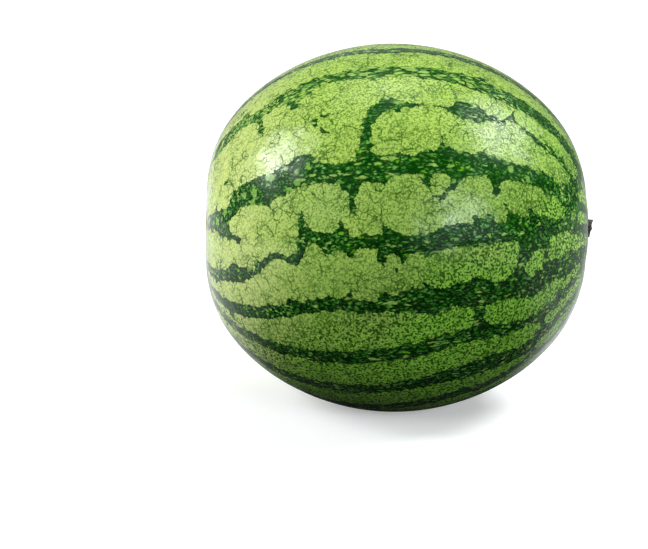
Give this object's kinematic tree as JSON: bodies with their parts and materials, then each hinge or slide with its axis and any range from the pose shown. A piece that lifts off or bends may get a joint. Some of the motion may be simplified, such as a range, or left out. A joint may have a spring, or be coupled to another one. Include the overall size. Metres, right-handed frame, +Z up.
{
  "type": "watermelon",
  "caption": "Whole round-oval striped watermelon that lies on its side on a small flat spot, with the dry stub of its stem at one end.",
  "frame": {"origin": "middle of the small flat spot that the fruit rests on, on the surface under it", "axes": "+Z up; +X along the fruit towards its stem end; -Y towards the side with the broad light lobes; the fruit's own axis dips 1.5 degrees from +X towards the stem end"},
  "size_m": [0.2487, 0.2372, 0.2323],
  "materials": {
    "rind": "satin",
    "stem": "matte"
  },
  "bodies": {
    "root": {"fruit": "rind", "stem_stub": "stem"}
  },
  "joints": []
}
